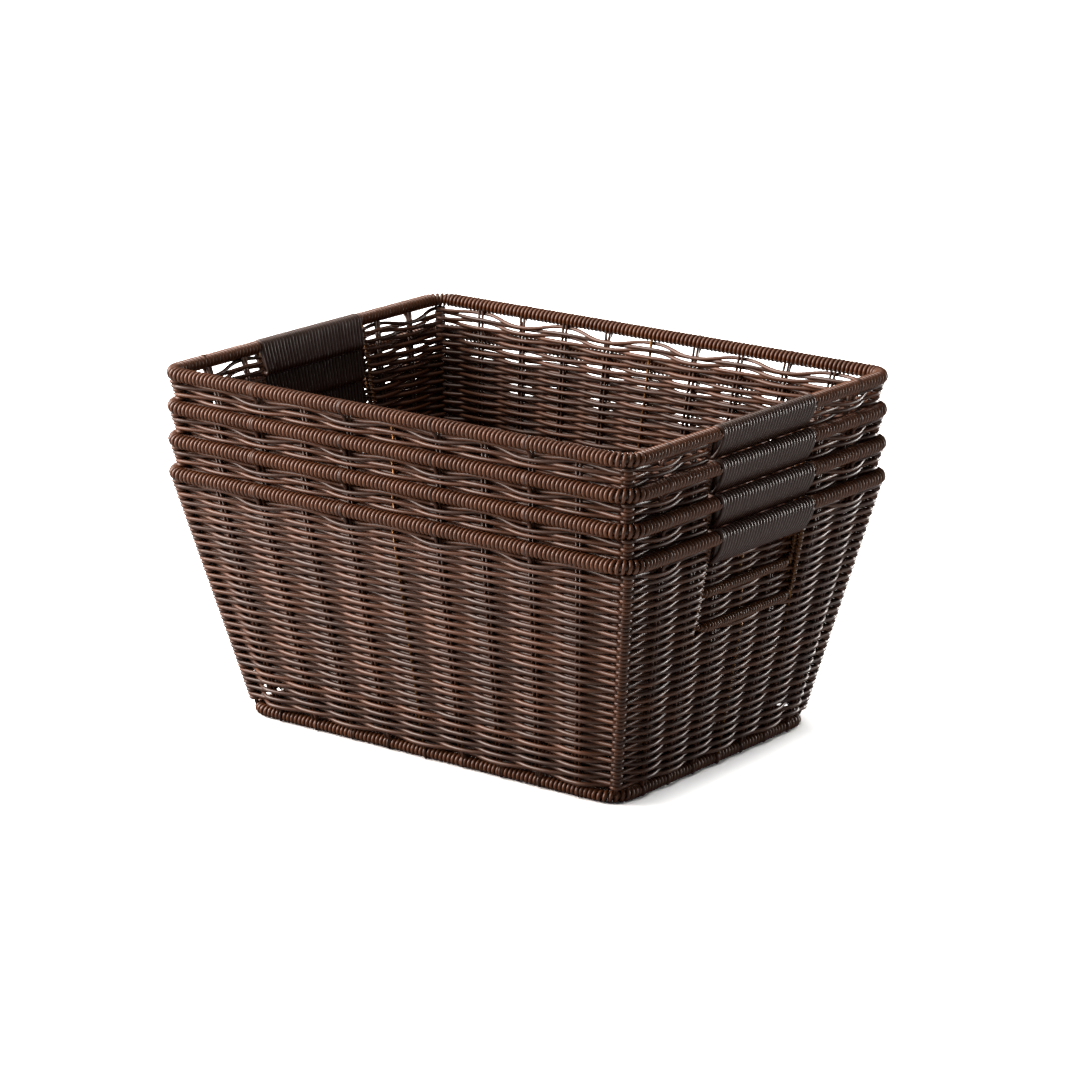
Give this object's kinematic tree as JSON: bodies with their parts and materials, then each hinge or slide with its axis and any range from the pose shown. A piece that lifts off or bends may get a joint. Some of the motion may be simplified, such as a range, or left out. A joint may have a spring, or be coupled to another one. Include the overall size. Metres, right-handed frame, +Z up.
{
  "type": "nested woven storage baskets",
  "caption": "Nested rectangular woven baskets with tapered walls, wrapped rims and a hand hole with a wrapped grip in each short wall.",
  "frame": {"origin": "centre of the flat rectangle that the lowest base rim stands on", "axes": "+X along the long walls towards a grip, +Y across the baskets, +Z up and along the way the baskets lift apart"},
  "size_m": [0.3912, 0.2956, 0.2435],
  "materials": {
    "rim_strand": "glossy round resin strand wound tightly round a wire core",
    "weave_strand": "glossy round resin strand in a plain weave",
    "grip_strand": "satin round resin strand wound side by side",
    "post_strand": "glossy resin strand over a wire core"
  },
  "bodies": {
    "basket_1": {"basket_1_top_rim": "rim_strand", "basket_1_base_rim": "rim_strand", "basket_1_floor_weave": "weave_strand", "basket_1_back_wall_weave": "weave_strand", "basket_1_front_wall_weave": "weave_strand", "basket_1_right_wall_weave": "weave_strand", "basket_1_left_wall_weave": "weave_strand", "basket_1_right_hand_hole_loop": "rim_strand", "basket_1_left_hand_hole_loop": "rim_strand", "basket_1_right_grip": "grip_strand", "basket_1_left_grip": "grip_strand", "basket_1_corner_post_back_right": "post_strand", "basket_1_corner_post_front_left": "post_strand", "basket_1_corner_post_front_right": "post_strand", "basket_1_corner_post_back_left": "post_strand"},
    "basket_2": {"basket_2_top_rim": "rim_strand", "basket_2_base_rim": "rim_strand", "basket_2_floor_weave": "weave_strand", "basket_2_back_wall_weave": "weave_strand", "basket_2_front_wall_weave": "weave_strand", "basket_2_right_wall_weave": "weave_strand", "basket_2_left_wall_weave": "weave_strand", "basket_2_right_hand_hole_loop": "rim_strand", "basket_2_left_hand_hole_loop": "rim_strand", "basket_2_right_grip": "grip_strand", "basket_2_left_grip": "grip_strand", "basket_2_corner_post_back_right": "post_strand", "basket_2_corner_post_front_left": "post_strand", "basket_2_corner_post_front_right": "post_strand", "basket_2_corner_post_back_left": "post_strand"},
    "basket_3": {"basket_3_top_rim": "rim_strand", "basket_3_base_rim": "rim_strand", "basket_3_floor_weave": "weave_strand", "basket_3_back_wall_weave": "weave_strand", "basket_3_front_wall_weave": "weave_strand", "basket_3_right_wall_weave": "weave_strand", "basket_3_left_wall_weave": "weave_strand", "basket_3_right_hand_hole_loop": "rim_strand", "basket_3_left_hand_hole_loop": "rim_strand", "basket_3_right_grip": "grip_strand", "basket_3_left_grip": "grip_strand", "basket_3_corner_post_back_right": "post_strand", "basket_3_corner_post_front_left": "post_strand", "basket_3_corner_post_front_right": "post_strand", "basket_3_corner_post_back_left": "post_strand"},
    "basket_4": {"basket_4_top_rim": "rim_strand", "basket_4_base_rim": "rim_strand", "basket_4_floor_weave": "weave_strand", "basket_4_back_wall_weave": "weave_strand", "basket_4_front_wall_weave": "weave_strand", "basket_4_right_wall_weave": "weave_strand", "basket_4_left_wall_weave": "weave_strand", "basket_4_right_hand_hole_loop": "rim_strand", "basket_4_left_hand_hole_loop": "rim_strand", "basket_4_right_grip": "grip_strand", "basket_4_left_grip": "grip_strand", "basket_4_corner_post_back_right": "post_strand", "basket_4_corner_post_front_left": "post_strand", "basket_4_corner_post_front_right": "post_strand", "basket_4_corner_post_back_left": "post_strand"}
  },
  "joints": [
    {"name": "basket_2_lift", "type": "slide", "parent": "basket_1", "child": "basket_2", "axis": [0, 0, 1], "range_m": [0, 0.2]},
    {"name": "basket_3_lift", "type": "slide", "parent": "basket_2", "child": "basket_3", "axis": [0, 0, 1], "range_m": [0, 0.2]},
    {"name": "basket_4_lift", "type": "slide", "parent": "basket_3", "child": "basket_4", "axis": [0, 0, 1], "range_m": [0, 0.2]}
  ]
}
